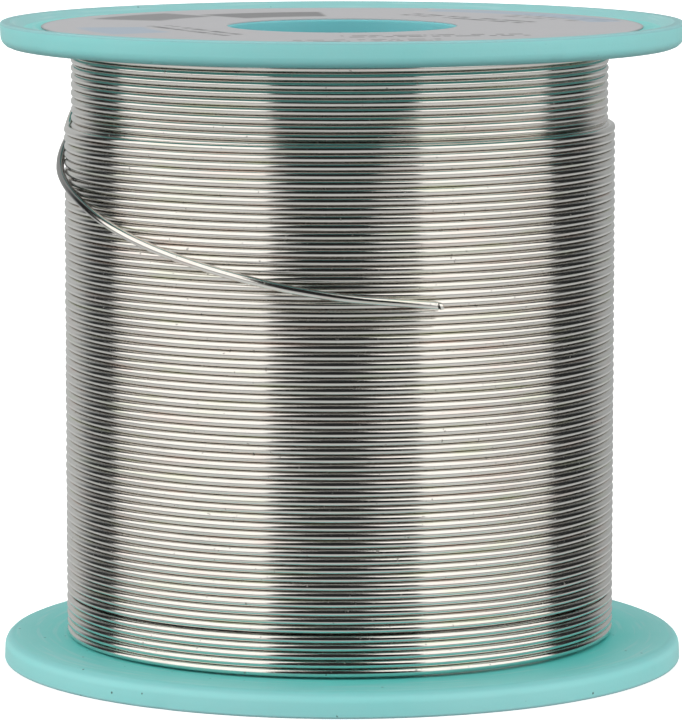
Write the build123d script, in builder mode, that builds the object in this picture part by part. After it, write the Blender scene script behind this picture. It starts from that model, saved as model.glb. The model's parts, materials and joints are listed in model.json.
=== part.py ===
"""A spool of solder wire, in millimetres.

Two moulded halves plug into each other and make the spool: each one is a flange, half of the drum
that the wire is wound on, and half of the tube that runs on a spindle. A paper label lies in the
recess of the upper flange. The wire is wound on the drum in closely packed layers; the outermost
one stops short of the upper flange, and its last turn comes loose and ends as a free end.

The spool stands on its lower flange. The origin is the middle of that flange's outer face, and +Z
runs up the bore. Angles are counted anticlockwise from +X, seen from above.
"""

from build123d import *
from math import cos, pi, radians, sin, sqrt, tan
import os

# ---- driving dimensions -----------------------------------------------------------------------

# overall
flange_diameter = 67.0
spool_height = 63.0

# flanges
rim_thickness = 2.45  # flange thickness at its edge
rim_land_width = 1.0  # flat ring that the spool stands on
recess_depth = 0.6  # label recess in the flange's outer face
recess_slope_width = 1.3  # sloping wall between the land and the recess floor
rim_draft = 0.1  # how much the rim narrows from its outer to its inner edge
rim_outer_round = 0.2
rim_inner_round = 1.1
land_round = 0.15

# drum and spindle tube
drum_diameter = 34.8
drum_wall = 2.0
bore_diameter = 22.3
bore_wall = 1.5
bore_edge_round = 0.2
rib_count = 6
rib_thickness = 1.2
rib_root = 0.4  # how far a rib runs into the walls on each side of it

# the joint between the two halves
spigot_length = 3.0
spigot_wall = 0.95
spigot_clearance = 0.05  # between spigot and socket, on the radius and at the tip
rib_gap = 0.3  # from a rib's end to the socket's floor

# label
label_thickness = 0.1
label_outer_margin = 1.75  # recess floor left bare outside the label
label_inner_margin = 0.4  # flange left bare between the bore and the label

# wire
wire_diameter = 0.8
core_diameter = 0.3  # flux inside the wire
turn_gap = 0.009  # between two turns that lie side by side
layer_count = 14
uncovered_turns = 9.2  # turns of the layer beneath that show above the outermost layer
last_turn_start = 184.0  # angle at which the last turn begins
last_turn_arc = 320.0  # how far it goes round before it becomes the free end

# the wire's inner end
anchor_angle = 90.0
anchor_clearance = 0.2  # round the wire, in its hole through the drum
anchor_web = 0.15  # drum wall left between the hole and the upper flange
anchor_bend = 1.0  # radius of the hook behind the drum's wall
anchor_tail = 6.0  # length of wire that hangs down inside the drum
anchor_wall_gap = 0.5  # from the drum's inner wall to that length of wire

# the wire's free end: the points its centre line goes round, from the last turn to the cut
free_end_points = [
    (-21.80, 15.84, 52.72),
    (-23.70, 13.14, 52.85),
    (-26.25, 9.55, 52.45),
    (-27.38, 4.83, 50.75),
    (-27.80, -0.48, 49.05),
    (-27.20, -5.78, 47.80),
    (-25.45, -11.33, 46.40),
    (-22.73, -16.52, 44.70),
    (-18.53, -21.32, 42.95),
    (-12.85, -25.22, 41.30),
    (-6.35, -27.48, 39.80),
    (0.00, -28.00, 38.75),
    (5.32, -27.34, 38.30),
    (9.48, -26.05, 37.85),
]

# ---- sizes that follow from them --------------------------------------------------------------

flange_radius = flange_diameter / 2
drum_radius = drum_diameter / 2
drum_inner_radius = drum_radius - drum_wall
bore_radius = bore_diameter / 2
bore_tube_radius = bore_radius + bore_wall
half_height = spool_height / 2
land_inner_radius = flange_radius - rim_land_width
recess_radius = land_inner_radius - recess_slope_width
spigot_radius = drum_inner_radius + spigot_wall
socket_radius = spigot_radius + spigot_clearance
socket_depth = spigot_length + spigot_clearance
rib_top = half_height - socket_depth - rib_gap
rib_height = rib_top - rim_thickness + rib_root
wire_radius = wire_diameter / 2
wire_pitch = wire_diameter + turn_gap
winding_bottom = rim_thickness
winding_top = spool_height - rim_thickness
layer_step = wire_diameter * sqrt(3) / 2  # a turn lies in the groove between two turns below it
anchor_z = winding_top - anchor_web - anchor_clearance - wire_radius


def layer_radius(number):
    """Outer radius of the winding once it has that many layers."""
    return drum_radius + (wire_diameter + (number - 1) * layer_step if number else 0)


def finish_part(builder, name):
    """Labels a finished piece and writes it to its own STEP file."""
    builder.part.label = name
    export_step(builder.part, f"parts/{name}.step")


def height(from_face, upper):
    """Height of a point that lies from_face inwards of a half's outer face."""
    return spool_height - from_face if upper else from_face


def half_section(upper):
    """One half's section to the right of the axis: flange, drum wall and spindle tube."""
    wall_end = [(drum_radius, half_height)]
    if upper:
        wall_end += [
            (socket_radius, half_height),
            (socket_radius, half_height - socket_depth),
            (drum_inner_radius, half_height - socket_depth),
        ]
    else:
        wall_end += [
            (spigot_radius, half_height),
            (spigot_radius, half_height + spigot_length),
            (drum_inner_radius, half_height + spigot_length),
        ]
    outline = [
        (bore_radius, recess_depth),
        (recess_radius, recess_depth),
        (land_inner_radius, 0),
        (flange_radius, 0),
        (flange_radius - rim_draft, rim_thickness),
        (drum_radius, rim_thickness),
        *wall_end,
        (drum_inner_radius, rim_thickness),
        (bore_tube_radius, rim_thickness),
        (bore_tube_radius, half_height),
        (bore_radius, half_height),
    ]
    with BuildSketch(Plane.XZ) as section:
        with BuildLine():
            Polyline([(r, height(h, upper)) for r, h in outline], close=True)
        make_face()
        rounds = [
            (flange_radius, 0, rim_outer_round),
            (land_inner_radius, 0, land_round),
            (flange_radius - rim_draft, rim_thickness, rim_inner_round),
            (bore_radius, recess_depth, bore_edge_round),
        ]
        for r, h, radius in rounds:
            corner = section.vertices().sort_by_distance((r, height(h, upper), 0))[0]
            fillet(corner, radius)
    return section.sketch


def rib_pattern(upper):
    """The webs between the spindle tube and the drum wall of one half, seen along the axis."""
    low = height(rib_top, upper) if upper else rim_thickness - rib_root
    with BuildSketch(Plane.XY.offset(low)) as webs:
        with PolarLocations((bore_tube_radius + drum_inner_radius) / 2, rib_count):
            Rectangle(drum_inner_radius - bore_tube_radius + 2 * rib_root, rib_thickness)
    return webs.sketch


def wire_section(route, radius, hollow=0):
    """A round wire's section at the start of its route, with a hollow in its middle or none."""
    with BuildSketch(Plane(origin=route @ 0, z_dir=route % 0)) as section:
        Circle(radius)
        if hollow:
            Circle(hollow, mode=Mode.SUBTRACT)
    return section.sketch


def bend_radii(points):
    """The largest easy radius at each inner point: 0.45 of its shorter run for a tangent."""
    corners = [Vector(*p) for p in points]
    radii = []
    for before, here, after in zip(corners, corners[1:], corners[2:]):
        run_in, run_out = here - before, after - here
        half_turn = radians(run_in.get_angle(run_out)) / 2
        radii.append(0.45 * min(run_in.length, run_out.length) / tan(half_turn))
    return radii


os.makedirs("parts", exist_ok=True)

# ---- the spool --------------------------------------------------------------------------------

with BuildPart() as lower_half:
    revolve(half_section(upper=False), axis=Axis.Z)
    extrude(rib_pattern(upper=False), amount=rib_height)
finish_part(lower_half, "lower_spool_half")

with BuildPart() as upper_half:
    revolve(half_section(upper=True), axis=Axis.Z)
    extrude(rib_pattern(upper=True), amount=rib_height)
    with BuildSketch(Plane.XZ.rotated((0, 0, anchor_angle - 270)).offset(drum_inner_radius - rib_root)):
        with Locations((0, anchor_z)):
            Circle(wire_radius + anchor_clearance)
    extrude(amount=drum_wall + 2 * rib_root, mode=Mode.SUBTRACT)
finish_part(upper_half, "upper_spool_half")

# ---- the label --------------------------------------------------------------------------------

with BuildPart() as label:
    with BuildSketch(Plane.XY.offset(spool_height - recess_depth)):
        Circle(recess_radius - label_outer_margin)
        Circle(bore_radius + label_inner_margin, mode=Mode.SUBTRACT)
    extrude(amount=label_thickness)
finish_part(label, "flange_label")

# ---- the winding, each layer as a closed band -------------------------------------------------

for number in range(1, layer_count):
    with BuildPart() as layer:
        with BuildSketch(Plane.XY.offset(winding_bottom)):
            Circle(layer_radius(number))
            Circle(layer_radius(number - 1), mode=Mode.SUBTRACT)
        extrude(amount=winding_top - winding_bottom)
    finish_part(layer, f"winding_layer_{number:02d}")

last_turn_bottom = winding_top - uncovered_turns * wire_pitch - wire_diameter
outer_band_width = layer_radius(layer_count) - layer_radius(layer_count - 1)
outer_band_middle = (layer_radius(layer_count) + layer_radius(layer_count - 1)) / 2

with BuildPart() as outer_layer:
    with BuildSketch(Plane.XY.offset(winding_bottom)):
        Circle(layer_radius(layer_count))
        Circle(layer_radius(layer_count - 1), mode=Mode.SUBTRACT)
    extrude(amount=last_turn_bottom - winding_bottom)
    with BuildSketch(Plane.XZ.rotated((0, 0, last_turn_start))):
        with Locations((outer_band_middle, last_turn_bottom + wire_radius)):
            Rectangle(outer_band_width, wire_diameter)
    revolve(axis=Axis.Z, revolution_arc=last_turn_arc)
finish_part(outer_layer, f"winding_layer_{layer_count:02d}")

# ---- the wire's two ends ----------------------------------------------------------------------

hook_radius = drum_inner_radius - anchor_wall_gap - wire_radius
outward = Vector(cos(radians(anchor_angle)), sin(radians(anchor_angle)), 0)
anchor_points = [
    outward * drum_radius + Vector(0, 0, anchor_z),
    outward * hook_radius + Vector(0, 0, anchor_z),
    outward * hook_radius + Vector(0, 0, anchor_z - anchor_bend - anchor_tail),
]

with BuildPart() as wire_start:
    with BuildLine() as hook:
        FilletPolyline(*anchor_points, radius=anchor_bend)
    sweep(wire_section(hook.line, wire_radius), path=hook.line)
finish_part(wire_start, "wire_start")

free_end_radii = bend_radii(free_end_points)
core_radius = core_diameter / 2

with BuildPart() as free_end:
    with BuildLine() as free_route:
        FilletPolyline(*free_end_points, radius=free_end_radii)
    sweep(wire_section(free_route.line, wire_radius, hollow=core_radius), path=free_route.line)
finish_part(free_end, "free_end")

with BuildPart() as flux_core:
    with BuildLine() as core_route:
        FilletPolyline(*free_end_points, radius=free_end_radii)
    sweep(wire_section(core_route.line, core_radius), path=core_route.line)
finish_part(flux_core, "flux_core")

free_length = sum(edge.length for edge in free_route.edges())
tube_volume = pi * (wire_radius**2 - core_radius**2) * free_length
print("free end length", round(free_length, 2), "mm")
print("free end bend radii", [round(r, 1) for r in free_end_radii], "mm")
print("free end volume over section times length", round(free_end.part.volume / tube_volume, 4))
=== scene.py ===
"""Looks for a spool of solder wire: the moulded spool, its label, the winding and the wire's free end.

The file is laid out as a Blender add-on and run as a script. Every length is in metres, in the frame
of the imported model: the spool stands on z = 0 and its bore runs up +Z. Angles are counted
anticlockwise from +X, seen from above.
"""

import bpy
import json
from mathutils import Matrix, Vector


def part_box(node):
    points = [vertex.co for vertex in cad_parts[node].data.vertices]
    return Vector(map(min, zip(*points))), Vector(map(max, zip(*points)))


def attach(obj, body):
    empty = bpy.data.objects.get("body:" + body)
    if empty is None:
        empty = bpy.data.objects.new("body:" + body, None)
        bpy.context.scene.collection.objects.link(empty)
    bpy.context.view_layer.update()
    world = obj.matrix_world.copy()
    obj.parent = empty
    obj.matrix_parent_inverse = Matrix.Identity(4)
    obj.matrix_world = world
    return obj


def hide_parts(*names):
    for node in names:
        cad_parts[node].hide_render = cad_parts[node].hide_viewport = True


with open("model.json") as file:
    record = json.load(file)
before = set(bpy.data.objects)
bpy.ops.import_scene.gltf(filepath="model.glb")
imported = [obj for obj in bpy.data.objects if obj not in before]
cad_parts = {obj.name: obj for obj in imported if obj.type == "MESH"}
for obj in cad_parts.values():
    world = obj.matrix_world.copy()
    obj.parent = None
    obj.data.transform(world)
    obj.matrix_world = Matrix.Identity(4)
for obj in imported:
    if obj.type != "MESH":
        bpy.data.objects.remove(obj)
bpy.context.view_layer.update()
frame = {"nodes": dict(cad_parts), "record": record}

import json
from math import cos, pi, radians, sin, sqrt

import bmesh
import bpy
import numpy as np
from bpy.props import FloatProperty, FloatVectorProperty, IntProperty, PointerProperty

bl_info = {
    "name": "Solder wire spool",
    "version": (1, 0, 0),
    "blender": (4, 5, 0),
    "location": "View3D > Sidebar > Solder spool",
    "description": "Builds a spool of solder wire around its packed model",
    "category": "Object",
}

MM = 0.001
RIB_COUNT = 6
RIB_THICKNESS = 1.2 * MM
RIB_ROOT = 0.4 * MM  # how far a rib runs into the walls on each side of it
KNOCKS = 16  # dents in the edge of a flange
LAYERS = 14
TIP_LEAN = 0.56  # how far the cut's top leans back, as a share of its height

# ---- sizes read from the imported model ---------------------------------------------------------

LOWER_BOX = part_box("lower_spool_half")
UPPER_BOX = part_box("upper_spool_half")
LABEL_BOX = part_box("flange_label")
DRUM_LAYER_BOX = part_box("winding_layer_01")
BELOW_OUTER_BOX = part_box("winding_layer_12")
UNDER_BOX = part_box("winding_layer_13")
OUTER_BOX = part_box("winding_layer_14")
BORE = next(m for m in frame["record"]["mounts"] if m["name"] == "spindle_bore")

SPOOL_HEIGHT = UPPER_BOX[1].z
FLANGE_RADIUS = UPPER_BOX[1].x
RIM_THICKNESS = UNDER_BOX[0].z
WINDING_TOP = UNDER_BOX[1].z
OUTER_RADIUS = OUTER_BOX[1].x
UNDER_RADIUS = UNDER_BOX[1].x
LAYER_STEP = OUTER_RADIUS - UNDER_RADIUS
WIRE_DIAMETER = LAYER_STEP * 2 / sqrt(3)
DRUM_RADIUS = DRUM_LAYER_BOX[1].x - WIRE_DIAMETER
BORE_RADIUS = BORE["dims"]["r_mm"] * MM
LABEL_RADIUS = LABEL_BOX[1].x

# ---- the free end's route: the part's own points, in millimetres ------------------------------

FREE_END_POINTS = [
    (-21.80, 15.84, 52.72),
    (-23.70, 13.14, 52.85),
    (-26.25, 9.55, 52.45),
    (-27.38, 4.83, 50.75),
    (-27.80, -0.48, 49.05),
    (-27.20, -5.78, 47.80),
    (-25.45, -11.33, 46.40),
    (-22.73, -16.52, 44.70),
    (-18.53, -21.32, 42.95),
    (-12.85, -25.22, 41.30),
    (-6.35, -27.48, 39.80),
    (0.00, -28.00, 38.75),
    (5.32, -27.34, 38.30),
    (9.48, -26.05, 37.85),
]


# ---- settings that a user would change --------------------------------------------------------


def length(name, description, default, low=0.0):
    """A length setting, in metres."""
    return FloatProperty(
        name=name, description=description, default=default, min=low, subtype="DISTANCE", unit="LENGTH"
    )


def colour(name, description, default):
    """A colour setting, linear red, green and blue."""
    return FloatVectorProperty(
        name=name, description=description, default=default, size=3, min=0.0, max=1.0, subtype="COLOR"
    )


def share(name, description, default):
    """A setting from 0 to 1."""
    return FloatProperty(
        name=name, description=description, default=default, min=0.0, max=1.0, subtype="FACTOR"
    )


class SpoolSettings(bpy.types.PropertyGroup):
    """Sizes and colours of the moulded spool."""

    recess_depth: length("Recess depth", "Depth of the label's recess", 0.6 * MM)
    land_width: length("Land width", "Flat ring at the edge of a flange", 1.0 * MM)
    slope_width: length("Slope width", "Sloping wall of the recess", 1.3 * MM)
    rim_draft: length("Rim draft", "How much the rim narrows inwards", 0.1 * MM)
    inner_round: length("Inner round", "Round on the flange's inner edge", 1.1 * MM)
    outer_round: length("Outer round", "Round on the flange's outer edge", 0.2 * MM)
    drum_wall: length("Drum wall", "Wall that the wire is wound on", 2.0 * MM)
    bore_wall: length("Bore wall", "Wall of the spindle tube", 1.5 * MM)
    segments: IntProperty(name="Segments", description="Steps round a flange", default=288, min=48)
    plastic: colour("Plastic", "Colour of the moulded plastic", (0.30, 0.635, 0.635))
    plastic_deep: colour("Deep plastic", "Colour in the plastic's thicker places", (0.10, 0.61, 0.575))
    bore: colour("Bore", "Colour inside the spindle tube", (0.175, 0.525, 0.565))
    gloss: share("Roughness", "Roughness of the moulded surface", 0.44)


class LabelSettings(bpy.types.PropertyGroup):
    """Sizes and colours of the paper label."""

    # width of the painted shade along the label's edge
    edge_width: length("Edge width", "Width of the darker edge", 0.3 * MM)
    paper: colour("Paper", "Colour of the paper", (0.455, 0.45, 0.47))
    grey_ink: colour("Grey ink", "Colour of the grey print", (0.17, 0.17, 0.175))
    blue_ink: colour("Blue ink", "Colour of the blue print", (0.27, 0.40, 0.54))


class WireSettings(bpy.types.PropertyGroup):
    """Sizes and colours of the solder wire."""

    turn_gap: length("Turn gap", "Space between two turns side by side", 0.0095 * MM)
    loose_gap: length("Loose gap", "Wider space above one of the lowest turns", 0.13 * MM)
    unevenness: length("Unevenness", "How far a turn strays in and out", 0.02 * MM)
    stray_rise: length("Stray rise", "How far the last turn climbs at the back", 2.6 * MM)
    bottom_gap: length("Bottom gap", "Space under the lowest turn", 0.19 * MM)
    sideways: length("Sideways", "How far the winding stands off the axis", 0.24 * MM)
    inwards: length("Inwards", "How much tighter the wire is wound than planned", 0.14 * MM)
    steps: IntProperty(name="Steps", description="Steps along one turn", default=108, min=24)
    sides: IntProperty(name="Sides", description="Sides of the wire", default=12, min=6)
    solder: colour("Solder", "Colour of the bright alloy", (0.80, 0.775, 0.735))
    flux: colour("Flux", "Colour of the rosin core", (0.42, 0.23, 0.06))
    gloss: share("Roughness", "Roughness of the drawn wire", 0.13)


class StageSettings(bpy.types.PropertyGroup):
    """The camera, the floor and the light."""

    focal_length: FloatProperty(name="Focal length", description="In millimetres", default=254.0)
    distance: length("Distance", "From the bore's axis to the camera", 0.4980)
    height: length("Height", "Of the camera above the floor", 0.0930)
    sideways: length("Sideways", "Of the camera from the middle", -0.00011, low=-1.0)
    look_down: FloatProperty(
        name="Look down", description="Angle below level", default=0.12695, subtype="ANGLE", unit="ROTATION"
    )
    panel: FloatProperty(name="Panels", description="Brightness of the side panels", default=1.30)
    table: FloatProperty(name="Table", description="Brightness of the table's reflection", default=0.72)
    backdrop: FloatProperty(name="Backdrop", description="Of the backdrop's reflection", default=0.52)
    top_light: FloatProperty(name="Top light", description="Brightness of the overhead light", default=1.15)
    fill: FloatProperty(name="Fill", description="Even light from around the horizon", default=1.05)
    floor_size: length("Floor size", "Side of the square floor", 8.0)


# ---- meshes from arrays -----------------------------------------------------------------------


def grid_faces(rows, columns, close_rows, close_columns):
    """Quads of a rows by columns grid, with either direction closed on itself or left open."""
    i, j = np.meshgrid(
        np.arange(rows if close_rows else rows - 1),
        np.arange(columns if close_columns else columns - 1),
        indexing="ij",
    )
    down, right = (i + 1) % rows, (j + 1) % columns
    corners = [i * columns + j, down * columns + j, down * columns + right, i * columns + right]
    return np.stack(corners, axis=-1).reshape(-1, 4)


def capped_faces(rings, sides):
    """Quads of a tube of that many rings, with a cap on each end."""
    first = np.arange(sides)
    caps = [list(first), list((first + (rings - 1) * sides)[::-1])]
    return [list(q) for q in grid_faces(rings, sides, False, True)] + caps


def new_piece(name, points, faces, smooth_below=radians(40)):
    """A mesh object at the origin, smooth but for edges sharper than the given angle."""
    mesh = bpy.data.meshes.new(name)
    mesh.from_pydata(points.reshape(-1, 3).tolist(), [], [list(f) for f in faces])
    mesh.update()
    mesh.polygons.foreach_set("use_smooth", np.ones(len(mesh.polygons), bool))
    mesh.set_sharp_from_angle(angle=smooth_below)
    piece = bpy.data.objects.new(name, mesh)
    bpy.context.scene.collection.objects.link(piece)
    return piece


def finish_piece(piece, material, slot, *nodes):
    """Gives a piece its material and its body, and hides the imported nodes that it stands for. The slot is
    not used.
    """
    piece.data.materials.clear()
    piece.data.materials.append(material)
    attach(piece, "root")
    if nodes:
        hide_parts(*nodes)
    return piece


def rounded(corners, steps=6):
    """A closed outline of (r, z, radius) corners, each turned into a tangent arc.

    The arc's centre lies radius / sin(half angle) from the corner along the bisector of its two
    edges, and the arc runs between the two points where the edges touch the circle.
    """
    points = np.array([c[:2] for c in corners])
    out = []
    for k, (r, z, radius) in enumerate(corners):
        here = np.array([r, z])
        to_last = points[k - 1] - here
        to_next = points[(k + 1) % len(points)] - here
        to_last, to_next = to_last / np.linalg.norm(to_last), to_next / np.linalg.norm(to_next)
        if radius <= 0:
            out.append(here[None])
            continue
        half = np.arccos(np.clip(to_last @ to_next, -1, 1)) / 2
        middle = (to_last + to_next) / np.linalg.norm(to_last + to_next)
        centre = here + middle * radius / np.sin(half)
        start = here + to_last * radius / np.tan(half) - centre
        end = here + to_next * radius / np.tan(half) - centre
        share_of_arc = np.linspace(0, 1, steps)[:, None]
        arc = start * (1 - share_of_arc) + end * share_of_arc
        out.append(centre + arc / np.linalg.norm(arc, axis=1, keepdims=True) * radius)
    return np.concatenate(out)


def divided(outline, longest):
    """The closed outline with points added, so that no edge is longer than that."""
    after = np.roll(outline, -1, axis=0)
    counts = np.maximum(1, np.ceil(np.linalg.norm(after - outline, axis=1) / longest)).astype(int)
    edge = np.repeat(np.arange(len(outline)), counts)
    first = np.repeat(np.cumsum(counts) - counts, counts)
    along = (np.arange(len(edge)) - first) / counts[edge]
    return outline[edge] + (after[edge] - outline[edge]) * along[:, None]


def ripple(angle, height, seed, waves=9, top=14):
    """A smooth unevenness, mostly between -1 and 1, the same in each run.

    It is a sum of cosines of (m * angle + k * height + phase), with whole m so that it closes
    round the axis, and with weights that fall as m grows.
    """
    draw = np.random.default_rng(seed)
    total, weights = 0.0, 0.0
    for _ in range(waves):
        m = int(draw.integers(1, top))
        k = draw.normal(0, 500)
        weight = 1 / sqrt(m)
        total = total + weight * np.cos(m * angle + k * height + draw.uniform(0, 2 * pi))
        weights += weight
    return total / weights * 2


# ---- materials --------------------------------------------------------------------------------


class Nodes:
    """A short way to write a node tree: each call adds a node and returns its output."""

    def __init__(self, tree, keep=False):
        self.tree = tree
        if not keep:
            tree.nodes.clear()

    def node(self, kind, settings=None, **inputs):
        made = self.tree.nodes.new(kind)
        for key, value in (settings or {}).items():
            setattr(made, key, value)
        for key, value in inputs.items():
            self.put(made.inputs[key.replace("_", " ")], value)
        return made

    def put(self, socket, value):
        if isinstance(value, bpy.types.NodeSocket):
            self.tree.links.new(value, socket)
        elif socket.type == "RGBA" and len(value) == 3:
            socket.default_value = (*value, 1.0)
        else:
            socket.default_value = value

    def math(self, operation, *values):
        made = self.tree.nodes.new("ShaderNodeMath")
        made.operation = operation
        for socket, value in zip(made.inputs, values):
            self.put(socket, value)
        return made.outputs[0]

    def times(self, first, second):
        return self.math("MULTIPLY", first, second)

    def plus(self, first, second):
        return self.math("ADD", first, second)

    def minus(self, first, second):
        return self.math("SUBTRACT", first, second)

    def step(self, value, low, high):
        """A smooth step from 0 at low to 1 at high."""
        smooth = {"interpolation_type": "SMOOTHSTEP"}
        made = self.node("ShaderNodeMapRange", smooth, Value=value, From_Min=low, From_Max=high)
        return made.outputs["Result"]

    def band(self, value, low, high, soft):
        """1 between low and high, 0 outside, with soft edges."""
        rise = self.step(value, low - soft, low + soft)
        fall = self.step(value, high + soft, high - soft)
        return self.times(rise, fall)

    def mix(self, amount, first, second):
        """A blend of two colours, through the sockets that the mix node keeps for colours."""
        made = self.tree.nodes.new("ShaderNodeMix")
        made.data_type = "RGBA"
        factor, first_colour, second_colour = made.inputs[0], made.inputs[6], made.inputs[7]
        self.put(factor, amount)
        self.put(first_colour, first)
        self.put(second_colour, second)
        return made.outputs[2]

    def noise(self, where, scale, detail=3.0, rough=0.5):
        made = self.node("ShaderNodeTexNoise", Vector=where, Scale=scale, Detail=detail, Roughness=rough)
        return made.outputs["Fac"]

    def place(self):
        """The point in the piece's own frame, and its three parts."""
        here = self.node("ShaderNodeTexCoord").outputs["Object"]
        parts = self.node("ShaderNodeSeparateXYZ", Vector=here)
        return here, parts.outputs["X"], parts.outputs["Y"], parts.outputs["Z"]

    def radius(self, x, y):
        """Distance from the bore's axis."""
        squares = self.plus(self.times(x, x), self.times(y, y))
        return self.math("SQRT", squares)

    def vector(self, x, y, z):
        return self.node("ShaderNodeCombineXYZ", X=x, Y=y, Z=z).outputs["Vector"]

    def bump(self, height, distance, strength=1.0, under=None):
        made = self.node("ShaderNodeBump", Height=height, Distance=distance, Strength=strength)
        if under is not None:
            self.put(made.inputs["Normal"], under)
        return made.outputs["Normal"]

    def surface(self, **inputs):
        """The principled shader and the output."""
        shader = self.node("ShaderNodeBsdfPrincipled", **inputs)
        self.node("ShaderNodeOutputMaterial", Surface=shader.outputs[0])
        return shader


def new_material(name):
    material = bpy.data.materials.new(name)
    material.use_nodes = True
    return material, Nodes(material.node_tree)


def plastic_material(look):
    """Turquoise moulded plastic: deeper in tone where it is thick, with pale streaks, scuffs and dust, and
    painted shade and a painted reflection near the rims.
    """
    material, n = new_material("moulded_turquoise")
    here, x, y, z = n.place()
    r = n.radius(x, y)
    clouds = n.noise(here, 60.0, 2.0)
    inwards = n.step(r, FLANGE_RADIUS - 1.2 * MM, OUTER_RADIUS - 0.5 * MM)
    at_edge = n.step(r, FLANGE_RADIUS - 0.2 * MM, FLANGE_RADIUS - 0.9 * MM)
    depth = n.plus(n.times(inwards, 0.6), n.times(at_edge, 0.4))
    tone = n.plus(n.times(depth, 0.75), n.times(clouds, 0.35))
    base = n.mix(tone, look.plastic, look.plastic_deep)
    base = n.mix(n.step(r, BORE_RADIUS + 1.5 * MM, BORE_RADIUS + 0.5 * MM), base, look.bore)
    # painted shade darkens the rim's rounded inner edge and the flat land; a painted reflection greys the
    # recess's sloping wall
    round_shade = n.band(r, FLANGE_RADIUS - 1.0 * MM, FLANGE_RADIUS - 0.3 * MM, 0.2 * MM)
    base = n.mix(n.times(round_shade, 0.4), base, (0.16, 0.40, 0.41))
    land_inner = FLANGE_RADIUS - look.land_width
    middle = SPOOL_HEIGHT / 2
    from_middle = n.math("ABSOLUTE", n.minus(z, middle))
    # painted reflection: the recess's sloping wall is greyed as if it mirrored the pale light
    wall_reflection = n.band(r, land_inner - look.slope_width, land_inner, 0.1 * MM)
    wall_reflection = n.times(wall_reflection, n.step(from_middle, middle - 0.9 * MM, middle - 0.7 * MM))
    base = n.mix(n.times(wall_reflection, 0.6), base, (0.27, 0.46, 0.48))
    # painted shade: the flat land is darkened to hold back the highlight along the rim's edge
    land_shade = n.step(r, land_inner - 0.05 * MM, land_inner + 0.05 * MM)
    land_shade = n.times(land_shade, n.step(from_middle, middle - 0.3 * MM, middle - 0.15 * MM))
    base = n.mix(n.times(land_shade, 0.6), base, (0.25, 0.42, 0.45))
    streaks = n.noise(n.vector(r, n.times(x, 0.06), n.times(y, 0.06)), 1700.0, 2.0)
    open_face = n.band(r, OUTER_RADIUS, FLANGE_RADIUS - 0.9 * MM, 0.4 * MM)
    streak = n.times(n.step(streaks, 0.52, 0.68), open_face)
    base = n.mix(n.times(streak, 0.3), base, (0.42, 0.64, 0.65))
    dust_cell = n.node("ShaderNodeTexVoronoi", {"feature": "F1"}, Vector=here, Scale=620.0)
    dust_here = n.step(n.noise(here, 900.0, 1.0), 0.54, 0.60)
    dust = n.times(n.step(dust_cell.outputs["Distance"], 0.09, 0.05), dust_here)
    base = n.mix(n.times(dust, 0.85), base, (0.03, 0.06, 0.05))
    scuffs = n.noise(n.vector(n.times(x, 9.0), y, n.times(z, 4.0)), 700.0, 4.0, 0.65)
    scuff = n.step(scuffs, 0.62, 0.8)
    base = n.mix(n.times(scuff, 0.22), base, (0.42, 0.72, 0.70))
    rough = n.plus(look.gloss - 0.05, n.times(n.noise(here, 240.0, 3.0), 0.12))
    rough = n.plus(rough, n.times(scuff, 0.15))
    rings = n.noise(n.vector(r, z, 0.0), 1500.0, 3.0)
    grain = n.noise(here, 3800.0, 2.0)
    normal = n.bump(rings, 0.012 * MM)
    normal = n.bump(grain, 0.006 * MM, under=normal)
    normal = n.bump(dust, 0.05 * MM, under=normal)
    n.surface(
        Base_Color=base,
        Roughness=rough,
        Normal=normal,
        Specular_IOR_Level=0.3,
        Subsurface_Weight=0.2,
        Subsurface_Radius=(0.25, 0.8, 0.75),
        Subsurface_Scale=1.2 * MM,
        IOR=1.5,
    )
    return material


def wire_material(look, name="drawn_solder", turned=True):
    """Bright drawn solder: fine lines along it, dull patches, a warm or green tarnish and specks.

    The free end isn't turned round the axis: its lines are cloudy, and painted shade darkens it where it bows
    out.
    """
    material, n = new_material(name)
    here, x, y, z = n.place()
    r = n.radius(x, y)
    if turned:
        lines = n.noise(n.vector(r, z, 0.0), 9000.0, 2.0, 0.6)
    else:
        lines = n.noise(here, 2500.0, 2.0, 0.6)
    patches = n.noise(n.vector(x, y, n.times(z, 3.0)), 160.0, 3.0, 0.55)
    turn_tone = n.noise(n.vector(0.0, 0.0, z), 1300.0, 2.0)
    dull = n.step(patches, 0.55, 0.8)
    base = n.mix(n.times(dull, 0.35), look.solder, (0.60, 0.585, 0.55))
    base = n.mix(n.step(turn_tone, 0.55, 0.85), base, (0.72, 0.705, 0.675))
    tarnish = n.noise(n.vector(x, y, n.times(z, 12.0)), 110.0, 2.0)
    base = n.mix(n.step(tarnish, 0.56, 0.72), base, (0.80, 0.735, 0.69))
    base = n.mix(n.step(tarnish, 0.44, 0.30), base, (0.765, 0.765, 0.675))
    specks = n.step(n.noise(here, 2600.0, 1.0), 0.735, 0.77)
    base = n.mix(n.times(specks, 0.5), base, (0.10, 0.09, 0.07))
    if not turned:
        # painted shade: the free end's colour is darkened where it bows out on the left
        base = n.mix(n.times(n.step(y, -19 * MM, -9 * MM), 0.85), base, (0.27, 0.265, 0.26))
    rough = n.plus(look.gloss - 0.03, n.times(patches, 0.07))
    rough = n.plus(rough, n.times(specks, 0.25))
    normal = n.bump(lines, 0.0022 * MM)
    normal = n.bump(n.noise(here, 900.0, 2.0), 0.003 * MM, under=normal)
    n.surface(Base_Color=base, Metallic=1.0, Roughness=rough, Normal=normal)
    return material


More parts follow.
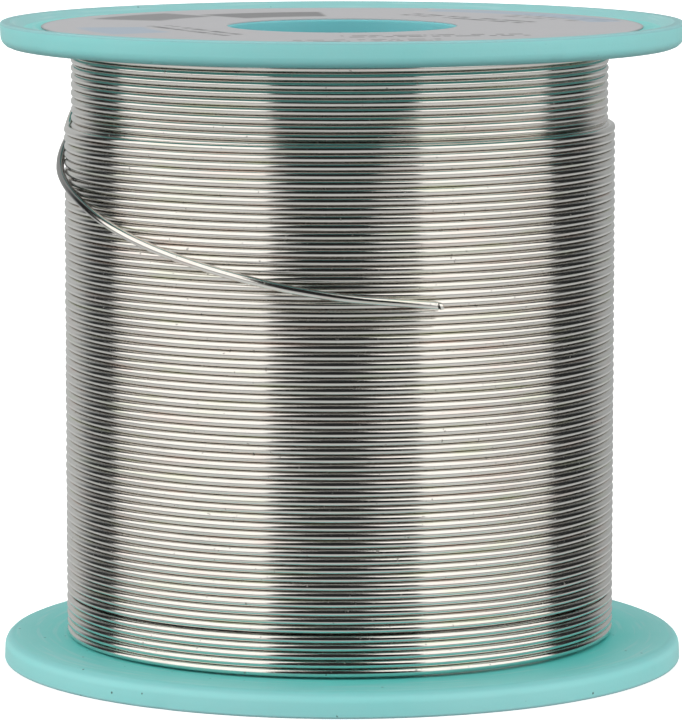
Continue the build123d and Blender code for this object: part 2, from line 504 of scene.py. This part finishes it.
def tip_material(look, end, direction):
    """The free end's solder, with painted shade near black in the groove that the jaws pressed across it."""
    material = wire_material(look, "nipped_solder", turned=False)
    tree = material.node_tree
    n = Nodes(tree, keep=True)
    shader = next(each for each in tree.nodes if each.type == "BSDF_PRINCIPLED")
    here, _, _, _ = n.place()
    forward, _, up = tip_frame(direction)
    back = n.node("ShaderNodeVectorMath", {"operation": "SUBTRACT"})
    n.put(back.inputs[0], here)
    n.put(back.inputs[1], tuple(end))
    along = n.node("ShaderNodeVectorMath", {"operation": "DOT_PRODUCT"})
    n.put(along.inputs[0], back.outputs["Vector"])
    n.put(along.inputs[1], tuple(forward + TIP_LEAN * up))
    # painted shade: the groove's band is coloured near black
    groove = n.band(along.outputs["Value"], -0.73 * MM, -0.46 * MM, 0.02 * MM)
    base = shader.inputs["Base Color"].links[0].from_socket
    n.put(shader.inputs["Base Color"], n.mix(n.times(groove, 0.95), base, (0.02, 0.018, 0.015)))
    return material


def packed_turns_material(look, pitch):
    """The hidden layers: solder with a groove at each turn."""
    material, n = new_material("packed_turns")
    here, _, _, z = n.place()
    wave = n.math("ABSOLUTE", n.math("SINE", n.times(z, pi / pitch)))
    patches = n.noise(here, 160.0, 3.0, 0.55)
    base = n.mix(n.times(patches, 0.4), look.solder, (0.60, 0.585, 0.55))
    rough = n.plus(look.gloss, n.times(patches, 0.08))
    n.surface(Base_Color=base, Metallic=1.0, Roughness=rough, Normal=n.bump(wave, 0.3 * MM))
    return material


def flux_material(look):
    """Amber rosin, glassy, with a few bubbles."""
    material, n = new_material("amber_rosin")
    here, _, _, _ = n.place()
    bubbles = n.step(n.noise(here, 9000.0, 1.0), 0.6, 0.75)
    base = n.mix(n.times(bubbles, 0.5), look.flux, (0.62, 0.42, 0.16))
    n.surface(Base_Color=base, Roughness=n.plus(0.15, n.times(bubbles, 0.3)), IOR=1.54)
    return material


def label_material(look):
    """Coated grey paper with a thin ring of painted shade at its edge, patches of tone and rows of bars for
    its small print.
    """
    material, n = new_material("printed_label")
    here, x, y, _ = n.place()
    r = n.math("DIVIDE", n.radius(x, y), MM)
    angle = n.math("DIVIDE", n.math("ARCTAN2", y, x), pi / 180)
    fibres = n.noise(here, 1800.0, 4.0, 0.6)
    clouds = n.noise(here, 90.0, 2.0)
    base = n.mix(n.times(clouds, 0.35), look.paper, [0.9 * c for c in look.paper])

    def patch(r_low, r_high, a_low, a_high, soft_r=0.25, soft_a=1.0):
        across = n.band(r, r_low, r_high, soft_r)
        return n.times(across, n.band(angle, a_low, a_high, soft_a))

    def bars(turn, u_low, u_high, v_low, v_high, pitch, cells):
        """Straight rows of short bars along a turned direction, cut into cells of uneven length.

        With u along the rows and v across them, a row is a band of v / pitch, and a bar stands where
        a noise of u times cells is high.
        """
        u = n.plus(n.times(x, cos(turn) / MM), n.times(y, sin(turn) / MM))
        v = n.minus(n.times(y, cos(turn) / MM), n.times(x, sin(turn) / MM))
        row = n.math("FLOOR", n.math("DIVIDE", v, pitch))
        in_row = n.math("FRACT", n.math("DIVIDE", v, pitch))
        cell = n.noise(n.vector(n.times(u, cells), n.times(row, 7.3), 0.0), 1.0, 1.0)
        on = n.times(n.band(in_row, 0.25, 0.75, 0.06), n.step(cell, 0.44, 0.5))
        block = n.times(n.band(u, u_low, u_high, 0.1), n.band(v, v_low, v_high, 0.1))
        return n.times(on, block)

    outer = LABEL_RADIUS / MM
    # painted shade: a darker band along the label's outer edge, where it meets the recess
    grey = n.times(n.step(r, outer - look.edge_width / MM, outer), 0.45)
    tones = [
        (patch(19.5, 27.0, 132.0, 158.0, 0.5), 0.72),
        (patch(15.0, 22.5, 96.0, 130.0, 0.5), 0.82),
        (bars(radians(-50), -10.0, 9.0, 15.4, 19.2, 1.9, 0.9), 1.0),
        (bars(radians(-50), -2.0, 12.0, 21.1, 26.6, 1.8, 0.8), 0.65),
        (bars(radians(10), -3.0, 15.0, -19.0, -15.2, 1.9, 0.9), 0.95),
        (bars(radians(10), -9.0, 6.0, -25.2, -21.4, 1.9, 0.9), 0.7),
        (bars(radians(-62), -8.0, 9.0, -18.4, -14.8, 1.8, 0.9), 0.9),
    ]
    for mask, strength in tones:
        grey = n.math("MAXIMUM", grey, n.times(mask, strength))
    base = n.mix(grey, base, look.grey_ink)
    blue = n.math("MAXIMUM", patch(19.5, 26.0, -172.0, -147.0, 0.6), patch(25.0, 28.4, 12.0, 70.0, 0.5))
    base = n.mix(n.times(blue, 0.5), base, look.blue_ink)
    normal = n.bump(fibres, 0.01 * MM)
    normal = n.bump(clouds, 0.05 * MM, under=normal)
    rough = n.plus(0.5, n.times(fibres, 0.15))
    n.surface(Base_Color=base, Roughness=rough, Normal=normal)
    return material


# ---- the moulded spool ------------------------------------------------------------------------


def spool_half(name, look, upper):
    """One moulded half: a closed outline turned round the bore's axis, with ribs inside it.

    A point of the outline at radius r and height h stands at (r cos a, r sin a, h) for each angle a.
    The rim is dented by a few soft knocks, each a bell curve in angle and height, and the flange's
    inner face wanders by some hundredths of a millimetre.
    """
    half = SPOOL_HEIGHT / 2
    recess = look.recess_depth
    land_inner = FLANGE_RADIUS - look.land_width
    drum_inner = DRUM_RADIUS - look.drum_wall
    bore_tube = BORE_RADIUS + look.bore_wall
    spigot_length = LOWER_BOX[1].z - half
    middle_wall = (drum_inner + DRUM_RADIUS) / 2
    spigot_end = half + (-spigot_length if upper else spigot_length)
    corners = [
        (BORE_RADIUS, recess, look.outer_round),
        (land_inner - look.slope_width, recess, look.outer_round),
        (land_inner, 0, look.outer_round),
        (FLANGE_RADIUS, 0, look.outer_round),
        (FLANGE_RADIUS - look.rim_draft, RIM_THICKNESS, look.inner_round),
        (DRUM_RADIUS, RIM_THICKNESS, 0),
        (DRUM_RADIUS, half, 0),
        (middle_wall, half, 0),
        (middle_wall, spigot_end, 0),
        (drum_inner, spigot_end, 0),
        (drum_inner, RIM_THICKNESS, 0),
        (bore_tube, RIM_THICKNESS, 0),
        (bore_tube, half, 0),
        (BORE_RADIUS, half, 0),
    ]
    outline = divided(rounded(corners), 1.6 * MM)
    r, h = outline[:, 0][:, None], outline[:, 1][:, None]
    a = np.linspace(0, 2 * pi, look.segments, endpoint=False)[None]
    draw = np.random.default_rng(41 if upper else 42)
    outside = np.clip((r - DRUM_RADIUS) / (FLANGE_RADIUS - DRUM_RADIUS), 0, 1) ** 2
    wander = outside * ripple(a, 0 * a, 7 if upper else 8, top=6) * 0.05 * MM
    knock = np.zeros((len(outline), look.segments))
    for _ in range(KNOCKS):
        at, deep = draw.uniform(0, 2 * pi), draw.uniform(0.03, 0.14) * MM
        level, wide = draw.choice([0.1, 1.2, 2.2]) * MM, draw.uniform(0.006, 0.02)
        off = (a - at + pi) % (2 * pi) - pi
        knock += deep * np.exp(-((off / wide) ** 2) - ((h - level) / (0.35 * MM)) ** 2)
    knock *= np.clip((r - FLANGE_RADIUS + 1.2 * MM) / MM, 0, 1)
    rim_r = np.minimum(r - knock, r)
    inner_face = np.clip((h - recess) / (RIM_THICKNESS - recess), 0, 1) * (h < RIM_THICKNESS + MM)
    level = h + wander * inner_face * (r > DRUM_RADIUS + MM)
    level = np.broadcast_to(level, knock.shape)
    if upper:
        level = SPOOL_HEIGHT - level
    points = np.stack([rim_r * np.cos(a), rim_r * np.sin(a), level], axis=-1)
    faces = grid_faces(len(outline), look.segments, True, True)
    if not upper:
        faces = faces[:, ::-1]
    points, faces = [points.reshape(-1, 3)], [faces]
    rib_low, rib_high = RIM_THICKNESS - 0.3 * MM, half - spigot_length - 0.4 * MM
    for k in range(RIB_COUNT):
        corner, box_faces = box_between(
            (bore_tube - RIB_ROOT, -RIB_THICKNESS / 2, rib_low),
            (drum_inner + RIB_ROOT, RIB_THICKNESS / 2, rib_high),
        )
        turn = 2 * pi * k / RIB_COUNT
        x, y, z = corner.T
        z = SPOOL_HEIGHT - z if upper else z
        faces.append((box_faces[:, ::-1] if upper else box_faces) + sum(len(p) for p in points))
        points.append(np.stack([x * cos(turn) - y * sin(turn), x * sin(turn) + y * cos(turn), z], axis=-1))
    return new_piece(name, np.concatenate(points), np.concatenate(faces), radians(50))


def box_between(low, high):
    """The eight corners of a box and its six faces, pointing outwards."""
    x, y, z = np.meshgrid(*zip(low, high), indexing="ij")
    points = np.stack([x, y, z], axis=-1).reshape(-1, 3)
    faces = np.array([(0, 1, 3, 2), (4, 6, 7, 5), (0, 4, 5, 1), (2, 3, 7, 6), (0, 2, 6, 4), (1, 5, 7, 3)])
    return points, faces


class SOLDER_OT_spool(bpy.types.Operator):
    """Builds the two moulded halves of the spool"""

    bl_idname = "solder.spool"
    bl_label = "Moulded spool"

    def execute(self, context):
        look = context.scene.solder_spool
        material = plastic_material(look)
        for side in ("lower", "upper"):
            piece = spool_half(f"{side}_spool", look, side == "upper")
            finish_piece(piece, material, "spool_plastic", f"{side}_spool_half")
        return {"FINISHED"}


# ---- the label --------------------------------------------------------------------------------


class SOLDER_OT_label(bpy.types.Operator):
    """Builds the round paper label in the upper flange's recess"""

    bl_idname = "solder.label"
    bl_label = "Label"

    def execute(self, context):
        """A thin ring whose section is turned round the axis; its edge lifts by a few hundredths."""
        look = context.scene.solder_label
        low, high = LABEL_BOX[0].z, LABEL_BOX[1].z
        bare, rings, steps = 0.15 * MM, 40, 256  # flange left bare at the bore, and the mesh's counts
        radii = np.linspace(BORE_RADIUS + bare, LABEL_RADIUS, rings)
        top, under = np.stack([radii, radii * 0 + high], 1), np.stack([radii[::-1], radii * 0 + low], 1)
        outline = np.concatenate([top, under])
        a = np.linspace(0, 2 * pi, steps, endpoint=False)[None]
        r, h = outline[:, 0][:, None], outline[:, 1][:, None]
        edge = np.clip((r - 0.8 * LABEL_RADIUS) / (0.2 * LABEL_RADIUS), 0, 1) ** 3
        lift = (edge * (0.5 + 0.5 * ripple(a, 0 * a, 11, top=9)) + 0.25 * ripple(a, r, 12, top=5)) * 0.04 * MM
        level = h + np.maximum(lift, 0)
        points = np.stack([r * np.cos(a), r * np.sin(a), level], axis=-1)
        piece = new_piece("round_label", points, grid_faces(len(outline), steps, True, True), radians(50))
        outward(piece)
        finish_piece(piece, label_material(look), "label_paper", "flange_label")
        return {"FINISHED"}


def outward(piece):
    """Turns a closed piece's faces outwards."""
    mesh = bmesh.new()
    mesh.from_mesh(piece.data)
    bmesh.ops.recalc_face_normals(mesh, faces=mesh.faces)
    mesh.to_mesh(piece.data)
    mesh.free()


# ---- the wire ---------------------------------------------------------------------------------

CROSSOVER = radians(95)  # the angle, at the back, where the turns step over to the next groove
CROSSOVER_LENGTH = 0.13  # of a crossover, in turns
RIDGE_LENGTH = 0.055  # of the hump where a wire crosses a ridge, in turns
FRONT_OF_TURN = 0.486  # from the crossover to the front, in turns
OUTER_TURNS = 62  # whole turns of the outermost layer
UNDER_TURNS = 12.5  # turns of the layer beneath that are drawn as wire
CROWDING = 0.35  # how much closer the section's points lie on the outer side


def tube(path, wire_radius, sides):
    """Points and faces of a wire along a path round the axis, with both ends closed.

    At each point of the path the section is a circle in the plane across the path: centre +
    radius * (cos b * outward + sin b * up), where outward is the direction away from the axis made
    square to the path. The angles b lie closer together on the outer side, b = s - crowding * sin s.
    """
    along = np.gradient(path, axis=0)
    along /= np.linalg.norm(along, axis=1, keepdims=True)
    away = path * (1, 1, 0)
    away -= (away * along).sum(1, keepdims=True) * along
    away /= np.linalg.norm(away, axis=1, keepdims=True)
    up = np.cross(away, along)
    s = np.linspace(-pi, pi, sides, endpoint=False)
    b = (s - CROWDING * np.sin(s))[None, :, None]
    ring = np.cos(b) * away[:, None] + np.sin(b) * up[:, None]
    points = (path[:, None] + wire_radius * ring).reshape(-1, 3)
    return points, capped_faces(len(path), sides)


def wound_path(turns, steps, front_level, pitch, radius, step_share, look, seed):
    """The centre line of a layer of turns.

    With t counted in turns from the crossover, the angle is 2 pi t + crossover and the height is
    front_level + pitch * S(t), with S = 0 at the front of the first turn. S rises by one for each
    turn: a share of the rise is spent in a short crossover at the back, where the wire steps to the
    next groove, and the rest evenly. The radius strays by a small sum of cosines, and by a tenth of
    a wire where the wire crosses a ridge.
    """
    t = np.linspace(0, turns, int(turns * steps) + 1)
    nearest = np.floor(t + 0.5)
    blend = np.clip(0.5 + (t - nearest) / CROSSOVER_LENGTH, 0, 1)
    stepped = nearest - 1 + blend * blend * (3 - 2 * blend)
    rise = step_share * stepped + (1 - step_share) * (t - FRONT_OF_TURN)
    a = 2 * pi * t + CROSSOVER
    z = front_level + pitch * rise
    ridge = np.exp(-(((t - nearest) / RIDGE_LENGTH) ** 2)) * 0.1 * WIRE_DIAMETER
    stray = look.unevenness * ripple(a, z, seed) + 0.35 * look.unevenness * ripple(a, 4 * z, seed + 1, top=30)
    return t, a, z, radius - look.inwards + stray + ridge


def ease(value):
    """A smooth step from 0 to 1 as the value goes from 0 to 1."""
    value = np.clip(value, 0, 1)
    return value * value * (3 - 2 * value)


def to_points(a, z, r, sideways):
    """Points at angle a, height z and radius r, about an axis that stands a little to the left."""
    return np.stack([r * np.cos(a) - sideways, r * np.sin(a), z], axis=-1)


class SOLDER_OT_free_end(bpy.types.Operator):
    """Builds the wire's free end, its nipped tip and the flux core in it"""

    bl_idname = "solder.free_end"
    bl_label = "Free end"

    def execute(self, context):
        look = context.scene.solder_wire
        points = np.array(FREE_END_POINTS) * MM
        curve = bpy.data.curves.new("free_end_wire", "CURVE")
        curve.dimensions = "3D"
        spline = curve.splines.new("NURBS")
        spline.points.add(len(points) - 1)
        spline.points.foreach_set("co", np.c_[points, np.ones(len(points))].ravel())
        spline.order_u = 3
        spline.use_endpoint_u = True
        curve.resolution_u = 16
        curve.bevel_depth = WIRE_DIAMETER / 2
        curve.bevel_resolution = 5
        curve.use_fill_caps = True
        curve.bevel_factor_mapping_end = "SPLINE"
        curve.bevel_factor_end = 0.991  # the nipped tip takes over here
        wire = bpy.data.objects.new("free_end_wire", curve)
        context.scene.collection.objects.link(wire)
        finish_piece(wire, wire_material(look, "free_solder", turned=False), "solder", "free_end")
        tip = nipped_tip(points[-1], points[-1] - points[-2])
        finish_piece(tip, tip_material(look, points[-1], points[-1] - points[-2]), "solder")
        core = core_stub(points[-1], points[-1] - points[-2])
        finish_piece(core, flux_material(look), "flux", "flux_core")
        return {"FINISHED"}


def tip_frame(direction):
    """Forward, outward and upward directions at the wire's cut end."""
    forward = direction / np.linalg.norm(direction)
    away = np.array([0.3, -0.95, 0.0])  # away from the bore's axis, at the cut
    away -= away @ forward * forward
    away /= np.linalg.norm(away)
    return forward, away, np.cross(away, forward)


def nipped_tip(end, direction):
    """The cut end: a short sleeve, a groove pressed across it, and a blunt slanting end.

    Each section is an ellipse, deep across the wire and tall along it, both as shares of the wire's.
    Its top leans back by a share of its height, as the jaws left it.
    """
    forward, away, up = tip_frame(direction)
    radius = WIRE_DIAMETER / 2
    from_wire, long = 1.3, 0.40 * MM  # s = 1.3 is the end of the planned wire, and one s is this long
    s = np.array([-0.9, -0.46, -0.40, 0.06, 0.12, 1.0])[:, None]
    deep = np.array([1.012, 1.012, 0.45, 0.45, 0.88, 0.72])[:, None]
    high = np.array([1.012, 1.012, 0.78, 0.78, 0.98, 0.8])[:, None]
    b = np.linspace(-pi, pi, 24, endpoint=False)[None]
    depth = radius * deep * np.cos(b)
    tall = radius * high * np.sin(b)
    forwards = long * (s - from_wire) - TIP_LEAN * tall
    points = (
        end
        + forwards[..., None] * forward
        + depth[..., None] * away
        + tall[..., None] * up
    )
    piece = new_piece("nipped_tip", points, capped_faces(*points.shape[:2]), radians(22))
    outward(piece)
    return piece


def core_stub(end, direction):
    """The flux core at the cut: a small bead, a ball stretched a little along the wire."""
    forward, away, up = tip_frame(direction)
    v, u = np.linspace(0, pi, 9)[1:-1, None], np.linspace(0, 2 * pi, 16, endpoint=False)[None]
    small, set_back = 0.15 * MM, 0.19 * MM
    centre = end - set_back * forward
    points = (
        centre
        + (small * np.sin(v) * np.cos(u))[..., None] * up
        + (0.8 * small * np.sin(v) * np.sin(u))[..., None] * away
        + (1.2 * small * np.cos(v) * np.ones_like(u))[..., None] * forward
    )
    piece = new_piece("core_bead", points, capped_faces(*points.shape[:2]), radians(60))
    outward(piece)
    return piece


class SOLDER_OT_winding(bpy.types.Operator):
    """Builds the two layers of wire that show, and finishes the layers beneath"""

    bl_idname = "solder.winding"
    bl_label = "Winding"

    def execute(self, context):
        look = context.scene.solder_wire
        material = wire_material(look)
        pitch = WIRE_DIAMETER + look.turn_gap
        finish_piece(outer_layer(look, pitch), material, "solder", "winding_layer_14")
        finish_piece(under_layer(look, pitch), material, "solder", "winding_layer_13")
        hidden = packed_turns_material(look, pitch)
        names = [f"winding_layer_{k:02d}" for k in range(1, LAYERS - 1)] + ["wire_start"]
        for name in names:
            node = frame["nodes"][name]
            node.data.materials.clear()
            node.data.materials.append(hidden)
        return {"FINISHED"}


def outer_layer(look, pitch):
    """The outermost layer, from the lower flange up.

    Its last turn climbs over the layer beneath at the back left, falls back into its groove, and
    after one more turn runs into the free end's first point. The wire is kept off the flange: up to
    four times a clearance c, its gap is c + 3 c exp((gap - 4 c) / (3 c)), which never reaches c.
    """
    level = RIM_THICKNESS + WIRE_DIAMETER / 2
    exit_x, exit_y, exit_z = (c * MM for c in FREE_END_POINTS[0])
    exit_angle = np.arctan2(exit_y, exit_x + look.sideways)
    exit_radius = sqrt((exit_x + look.sideways) ** 2 + exit_y**2)
    turns = OUTER_TURNS + (exit_angle - CROSSOVER) / (2 * pi)
    radius = OUTER_RADIUS - WIRE_DIAMETER / 2
    t, a, z, r = wound_path(turns, look.steps, level + look.bottom_gap, pitch, radius, 0.35, look, 21)
    loose_turn = 4.5  # the turn from the flange that has a wider space above it
    z = z + look.loose_gap * ease(t - loose_turn)
    over = 0.02 * MM
    held_off = 3 * over * np.exp((z - level) / (3 * over) - 4 / 3)
    z = level + over + np.where(z > level + 4 * over, z - level - over, held_off)
    in_last = np.degrees(a) - 360 * (OUTER_TURNS - 1)  # angle in the last turn, from +X
    climb_from, climb_length, fallen_at, fall_length = 98, 40, 181, 22  # in degrees
    hump = ease((in_last - climb_from) / climb_length) * ease((fallen_at - in_last) / fall_length)
    z = z + look.stray_rise * hump
    r = r + 0.12 * MM * hump
    last_part = 0.4  # of the last turn, which bends towards the free end
    join = ease((t - turns + last_part) / last_part)
    z = z + (exit_z - z) * join
    r = r + (exit_radius - r) * join
    points, faces = tube(to_points(a, z, r, look.sideways), WIRE_DIAMETER / 2, look.sides)
    return new_piece("outer_winding", points, faces)


def under_layer(look, pitch):
    """The layer beneath: its upper turns as wire, and a plain sleeve where it is covered."""
    top = WINDING_TOP - WIRE_DIAMETER / 2
    radius = UNDER_RADIUS - WIRE_DIAMETER / 2
    _, a, z, r = wound_path(UNDER_TURNS, look.steps, top - 0.08 * MM, -pitch, radius, 0.95, look, 31)
    z = np.minimum(z, top - 0.02 * MM)
    points, faces = tube(to_points(a, z, r, look.sideways), WIRE_DIAMETER / 2, look.sides)
    low, high = RIM_THICKNESS, WINDING_TOP - UNDER_TURNS * pitch
    inner, outer = BELOW_OUTER_BOX[1].x, UNDER_RADIUS - 0.5 * MM
    ring = np.array([(outer, low), (outer, high), (inner, high), (inner, low)])
    steps = 180
    turn = np.linspace(0, 2 * pi, steps, endpoint=False)[None]
    sleeve = [ring[:, :1] * np.cos(turn), ring[:, :1] * np.sin(turn), ring[:, 1:] + 0 * turn]
    sleeve = np.stack(sleeve, axis=-1).reshape(-1, 3)
    sleeve_faces = grid_faces(len(ring), steps, True, True)[:, ::-1] + len(points)
    faces += [list(f) for f in sleeve_faces]
    return new_piece("under_winding", np.concatenate([points, sleeve]), faces)


# ---- the stage --------------------------------------------------------------------------------


def studio_light(look):
    """A tent of light, open towards the front: panels left and right, a backdrop, a table, a top light.

    The brightness depends on the direction alone. The azimuth is 0 towards the front (-Y) and
    positive to the right; both it and the elevation are in degrees. High up, the right panel leans in
    towards the front. What matt surfaces get is evened out by a fill from round the horizon.
    """
    world = bpy.data.worlds.new("studio")
    bpy.context.scene.world = world
    world.use_nodes = True
    n = Nodes(world.node_tree)
    where = n.node("ShaderNodeTexCoord").outputs["Generated"]
    parts = n.node("ShaderNodeSeparateXYZ", Vector=where)
    x, y, z = (parts.outputs[k] for k in "XYZ")
    azimuth = n.math("DIVIDE", n.math("ARCTAN2", x, n.times(y, -1.0)), pi / 180)
    elevation = n.math("DIVIDE", n.math("ARCSINE", z), pi / 180)
    lean = n.times(n.step(elevation, 25.0, 50.0), 14.0)
    left = n.band(azimuth, -108.0, -30.0, 1.5)
    sides = n.plus(left, n.band(n.plus(azimuth, lean), 34.0, 99.0, 1.5))
    back = n.step(n.math("ABSOLUTE", azimuth), 124.0, 148.0)
    over_table = n.step(elevation, -8.0, -2.0)
    panels = n.times(n.times(sides, over_table), look.panel)
    curtain = n.times(n.times(back, n.step(elevation, -15.0, -9.0)), look.backdrop)
    curtain = n.times(curtain, n.minus(1.0, n.times(n.step(x, -0.1, 0.3), 0.2)))
    near_table = n.plus(0.72, n.times(n.step(elevation, -15.0, -45.0), 0.28))
    table = n.times(n.step(elevation, -8.0, -15.0), n.times(near_table, look.table))
    table = n.times(table, n.plus(0.86, n.times(sides, 0.14)))
    table = n.times(table, n.plus(1.0, n.times(back, 0.25)))
    to_top = n.plus(n.times(z, 0.985), n.times(y, 0.17))
    beside = n.step(n.math("ABSOLUTE", n.plus(x, 0.01)), 0.05, 0.14)
    overhead = n.times(n.plus(0.1, n.times(beside, 0.9)), look.top_light)
    overhead = n.times(overhead, n.step(to_top, cos(radians(30)), cos(radians(24))))
    light = n.plus(n.math("MAXIMUM", panels, curtain), table)
    light = n.plus(n.math("MAXIMUM", light, overhead), 0.02)
    tint = n.mix(light, (0.90, 0.97, 1.0), (1.0, 0.985, 0.955))
    rays = n.node("ShaderNodeLightPath").outputs
    diffuse = rays["Is Diffuse Ray"]
    above = n.times(n.step(elevation, 30.0, 50.0), 0.2)
    around = n.plus(n.band(elevation, -14.0, 38.0, 6.0), above)
    fill = n.times(n.times(around, diffuse), look.fill)
    light = n.minus(light, n.times(n.times(table, diffuse), 0.55))
    room = n.node("ShaderNodeBackground", Color=tint, Strength=n.plus(light, fill))
    plain = n.node("ShaderNodeBackground", Color=(1.0, 1.0, 1.0), Strength=1.0)
    both = n.node("ShaderNodeMixShader", Fac=rays["Is Camera Ray"])
    n.put(both.inputs[1], room.outputs[0])
    n.put(both.inputs[2], plain.outputs[0])
    n.node("ShaderNodeOutputWorld", Surface=both.outputs[0])


def floor_material():
    """A pale, matt floor with a little light of its own, so that it stays even into the distance."""
    material, n = new_material("pale_floor")
    here, _, _, _ = n.place()
    tone = n.plus(0.78, n.times(n.noise(here, 30.0), 0.04))
    matt = n.node("ShaderNodeBsdfDiffuse", Color=n.vector(tone, tone, tone))
    glow = n.node("ShaderNodeEmission", Color=(1.0, 1.0, 1.0), Strength=0.55)
    both = n.node("ShaderNodeAddShader")
    n.put(both.inputs[0], matt.outputs[0])
    n.put(both.inputs[1], glow.outputs[0])
    n.node("ShaderNodeOutputMaterial", Surface=both.outputs[0])
    return material


class SOLDER_OT_stage(bpy.types.Operator):
    """Builds the camera, the floor and the light"""

    bl_idname = "solder.stage"
    bl_label = "Stage"

    def execute(self, context):
        look = context.scene.solder_stage
        scene = context.scene
        scene.view_settings.view_transform = "Standard"
        scene.view_settings.look = "None"
        camera = bpy.data.objects.new("camera", bpy.data.cameras.new("camera"))
        camera.data.lens = look.focal_length
        camera.data.clip_start = 0.01
        camera.data.clip_end = 100.0
        camera.location = (look.sideways, -look.distance, look.height)
        camera.rotation_euler = (pi / 2 - look.look_down, 0.0, 0.0)
        scene.collection.objects.link(camera)
        scene.camera = camera
        half = look.floor_size / 2
        corners = np.array([(-half, -half, 0), (half, -half, 0), (half, half, 0), (-half, half, 0)])
        floor = new_piece("floor", corners, [(0, 1, 2, 3)])
        floor.data.materials.append(floor_material())
        floor.visible_glossy = False
        floor.visible_diffuse = False
        studio_light(look)
        return {"FINISHED"}


# ---- the add-on -------------------------------------------------------------------------------


class SOLDER_PT_panel(bpy.types.Panel):
    """Lists the pieces of the spool and their settings"""

    bl_idname = "SOLDER_PT_panel"
    bl_label = "Solder spool"
    bl_space_type = "VIEW_3D"
    bl_region_type = "UI"
    bl_category = "Solder spool"

    def draw(self, context):
        for operator in OPERATORS:
            self.layout.operator(operator.bl_idname)
        for group in SETTINGS:
            box = self.layout.box()
            settings = getattr(context.scene, group)
            for name in settings.bl_rna.properties.keys():
                if name not in {"rna_type", "name"}:
                    box.prop(settings, name)


SETTINGS = {
    "solder_spool": SpoolSettings,
    "solder_label": LabelSettings,
    "solder_wire": WireSettings,
    "solder_stage": StageSettings,
}
OPERATORS = (
    SOLDER_OT_stage,
    SOLDER_OT_free_end,
    SOLDER_OT_spool,
    SOLDER_OT_label,
    SOLDER_OT_winding,
)


def register():
    for each in (*SETTINGS.values(), *OPERATORS, SOLDER_PT_panel):
        bpy.utils.register_class(each)
    for name, group in SETTINGS.items():
        setattr(bpy.types.Scene, name, PointerProperty(type=group))


def unregister():
    for name in SETTINGS:
        delattr(bpy.types.Scene, name)
    for each in (SOLDER_PT_panel, *reversed(OPERATORS), *SETTINGS.values()):
        bpy.utils.unregister_class(each)


def main():
    register()
    bpy.ops.solder.stage()
    bpy.ops.solder.free_end()
    bpy.ops.solder.spool()
    bpy.ops.solder.label()
    bpy.ops.solder.winding()


if __name__ == "__main__":
    main()
